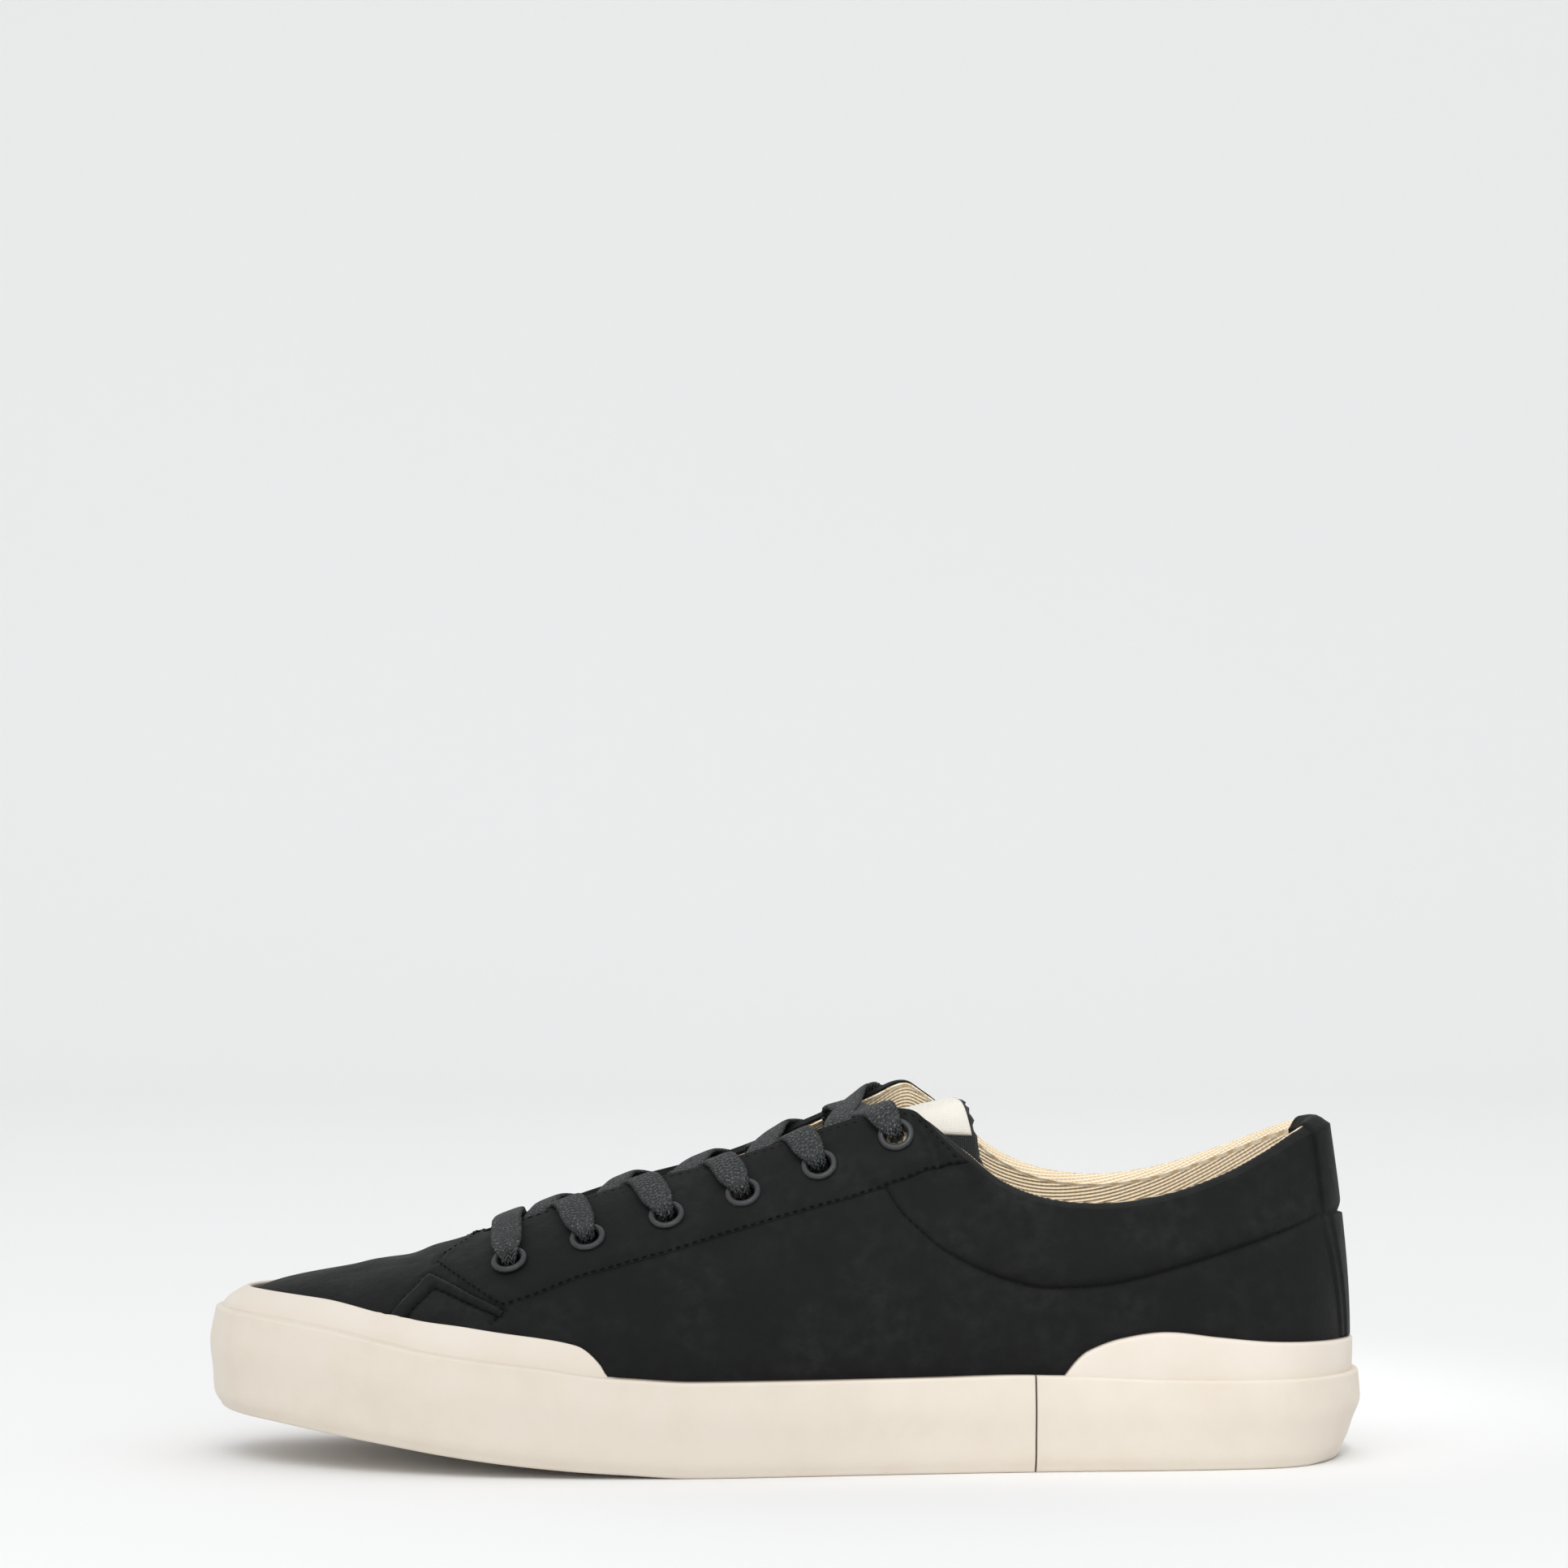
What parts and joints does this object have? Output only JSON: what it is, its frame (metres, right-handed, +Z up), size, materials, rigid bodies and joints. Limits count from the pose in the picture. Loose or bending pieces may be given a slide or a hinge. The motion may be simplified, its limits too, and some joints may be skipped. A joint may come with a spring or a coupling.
{
  "type": "low-top trainer",
  "caption": "Low-top lace-up trainer for the left foot, with a thick rubber sidewall and a suede upper.",
  "frame": {"origin": "on the floor under the middle of the shoe's length and width", "axes": "+X from the toe to the heel, +Y towards the inner side of the foot, +Z up"},
  "size_m": [0.296, 0.107, 0.0971],
  "materials": {
    "suede": "matt black nubuck",
    "sidewall_rubber": "matt off-white",
    "tread_rubber": "matt off-white",
    "lace_weave": "flat woven cord with a waxed thread",
    "tongue_cloth": "matt black",
    "label_cloth": "plain woven tape",
    "insole_canvas": "twill",
    "eyelet_paint": "matt black"
  },
  "bodies": {
    "root": {"outsole": "tread_rubber", "foxing": "sidewall_rubber", "heel_foxing": "sidewall_rubber", "toe_guard": "sidewall_rubber", "heel_guard": "sidewall_rubber", "upper": "suede", "facing_lateral": "suede", "facing_medial": "suede", "heel_tab": "suede", "heel_strip": "suede", "tongue": "tongue_cloth", "tongue_label": "label_cloth", "insole": "insole_canvas", "eyelet_lateral_1": "eyelet_paint", "eyelet_lateral_2": "eyelet_paint", "eyelet_lateral_3": "eyelet_paint", "eyelet_lateral_4": "eyelet_paint", "eyelet_lateral_5": "eyelet_paint", "eyelet_lateral_6": "eyelet_paint", "eyelet_medial_1": "eyelet_paint", "eyelet_medial_2": "eyelet_paint", "eyelet_medial_3": "eyelet_paint", "eyelet_medial_4": "eyelet_paint", "eyelet_medial_5": "eyelet_paint", "eyelet_medial_6": "eyelet_paint", "lace_bar": "lace_weave", "lace_crossing_1": "lace_weave", "lace_crossing_2": "lace_weave", "lace_crossing_3": "lace_weave", "lace_crossing_4": "lace_weave", "lace_crossing_5": "lace_weave"}
  },
  "joints": []
}
